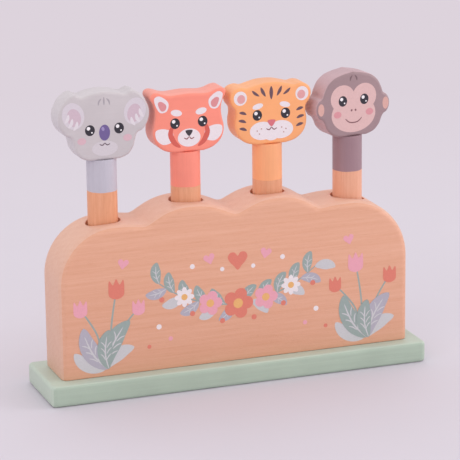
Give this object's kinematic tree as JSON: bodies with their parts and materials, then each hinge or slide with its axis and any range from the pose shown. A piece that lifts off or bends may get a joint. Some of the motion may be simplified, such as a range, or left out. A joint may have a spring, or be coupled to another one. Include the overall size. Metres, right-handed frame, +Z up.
{
  "type": "pop up animal toy",
  "caption": "Wooden toddler toy: a row of sprung round pegs with flat animal heads stands in a wavy block on a base plate. Pegs press down, pop up, turn and lift out.",
  "frame": {"origin": "centre of the base plate's underside, on the surface that the toy stands on", "axes": "+X along the row of pegs, from the koala to the monkey; +Z up; the faces look to -Y"},
  "size_m": [0.267, 0.06, 0.2044],
  "materials": {
    "mint_paint": "satin paint on wood",
    "light_wood": "clear satin lacquer",
    "dowel_wood": "clear satin lacquer, with the upper end of each dowel painted like its head",
    "steel": "zinc plated",
    "koala_paint": "pale grey satin paint on wood",
    "red_panda_paint": "coral satin paint on wood",
    "tiger_paint": "orange satin paint on wood",
    "monkey_paint": "mauve brown satin paint on wood"
  },
  "bodies": {
    "stand": {"base_plate": "mint_paint", "block": "light_wood", "base_screw_1": "steel", "base_screw_2": "steel", "base_screw_3": "steel", "base_screw_4": "steel", "koala_staple": "steel", "red_panda_staple": "steel", "tiger_staple": "steel", "monkey_staple": "steel"},
    "koala_spring_body": {"koala_spring": "steel"},
    "koala_pin_body": {"koala_neck_pin": "dowel_wood"},
    "koala_peg_body": {"koala_dowel": "dowel_wood", "koala_head": "koala_paint"},
    "red_panda_spring_body": {"red_panda_spring": "steel"},
    "red_panda_pin_body": {"red_panda_neck_pin": "dowel_wood"},
    "red_panda_peg_body": {"red_panda_dowel": "dowel_wood", "red_panda_head": "red_panda_paint"},
    "tiger_spring_body": {"tiger_spring": "steel"},
    "tiger_pin_body": {"tiger_neck_pin": "dowel_wood"},
    "tiger_peg_body": {"tiger_dowel": "dowel_wood", "tiger_head": "tiger_paint"},
    "monkey_spring_body": {"monkey_spring": "steel"},
    "monkey_pin_body": {"monkey_neck_pin": "dowel_wood"},
    "monkey_peg_body": {"monkey_dowel": "dowel_wood", "monkey_head": "monkey_paint"}
  },
  "joints": [
    {"name": "koala_press", "type": "slide", "parent": "stand", "child": "koala_spring_body", "axis": [0, 0, 1], "range_m": [-0.018, 0], "stiffness_N_per_m": 366, "springref_m": 0.003, "deforming": ["koala_spring"]},
    {"name": "koala_lift", "type": "slide", "parent": "koala_spring_body", "child": "koala_pin_body", "axis": [0, 0, 1], "range_m": [0, 0.085]},
    {"name": "koala_spin", "type": "hinge", "parent": "koala_pin_body", "child": "koala_peg_body", "pos_m": [-0.087, 0, 0.1586], "axis": [0, 0, 1], "continuous": true},
    {"name": "red_panda_press", "type": "slide", "parent": "stand", "child": "red_panda_spring_body", "axis": [0, 0, 1], "range_m": [-0.018, 0], "stiffness_N_per_m": 366, "springref_m": 0.003, "deforming": ["red_panda_spring"]},
    {"name": "red_panda_lift", "type": "slide", "parent": "red_panda_spring_body", "child": "red_panda_pin_body", "axis": [0, 0, 1], "range_m": [0, 0.085]},
    {"name": "red_panda_spin", "type": "hinge", "parent": "red_panda_pin_body", "child": "red_panda_peg_body", "pos_m": [-0.029, 0, 0.1586], "axis": [0, 0, 1], "continuous": true},
    {"name": "tiger_press", "type": "slide", "parent": "stand", "child": "tiger_spring_body", "axis": [0, 0, 1], "range_m": [-0.018, 0], "stiffness_N_per_m": 366, "springref_m": 0.003, "deforming": ["tiger_spring"]},
    {"name": "tiger_lift", "type": "slide", "parent": "tiger_spring_body", "child": "tiger_pin_body", "axis": [0, 0, 1], "range_m": [0, 0.085]},
    {"name": "tiger_spin", "type": "hinge", "parent": "tiger_pin_body", "child": "tiger_peg_body", "pos_m": [0.029, 0, 0.1586], "axis": [0, 0, 1], "continuous": true},
    {"name": "monkey_press", "type": "slide", "parent": "stand", "child": "monkey_spring_body", "axis": [0, 0, 1], "range_m": [-0.018, 0], "stiffness_N_per_m": 366, "springref_m": 0.003, "deforming": ["monkey_spring"]},
    {"name": "monkey_lift", "type": "slide", "parent": "monkey_spring_body", "child": "monkey_pin_body", "axis": [0, 0, 1], "range_m": [0, 0.085]},
    {"name": "monkey_spin", "type": "hinge", "parent": "monkey_pin_body", "child": "monkey_peg_body", "pos_m": [0.087, 0, 0.1586], "axis": [0, 0, 1], "continuous": true}
  ]
}
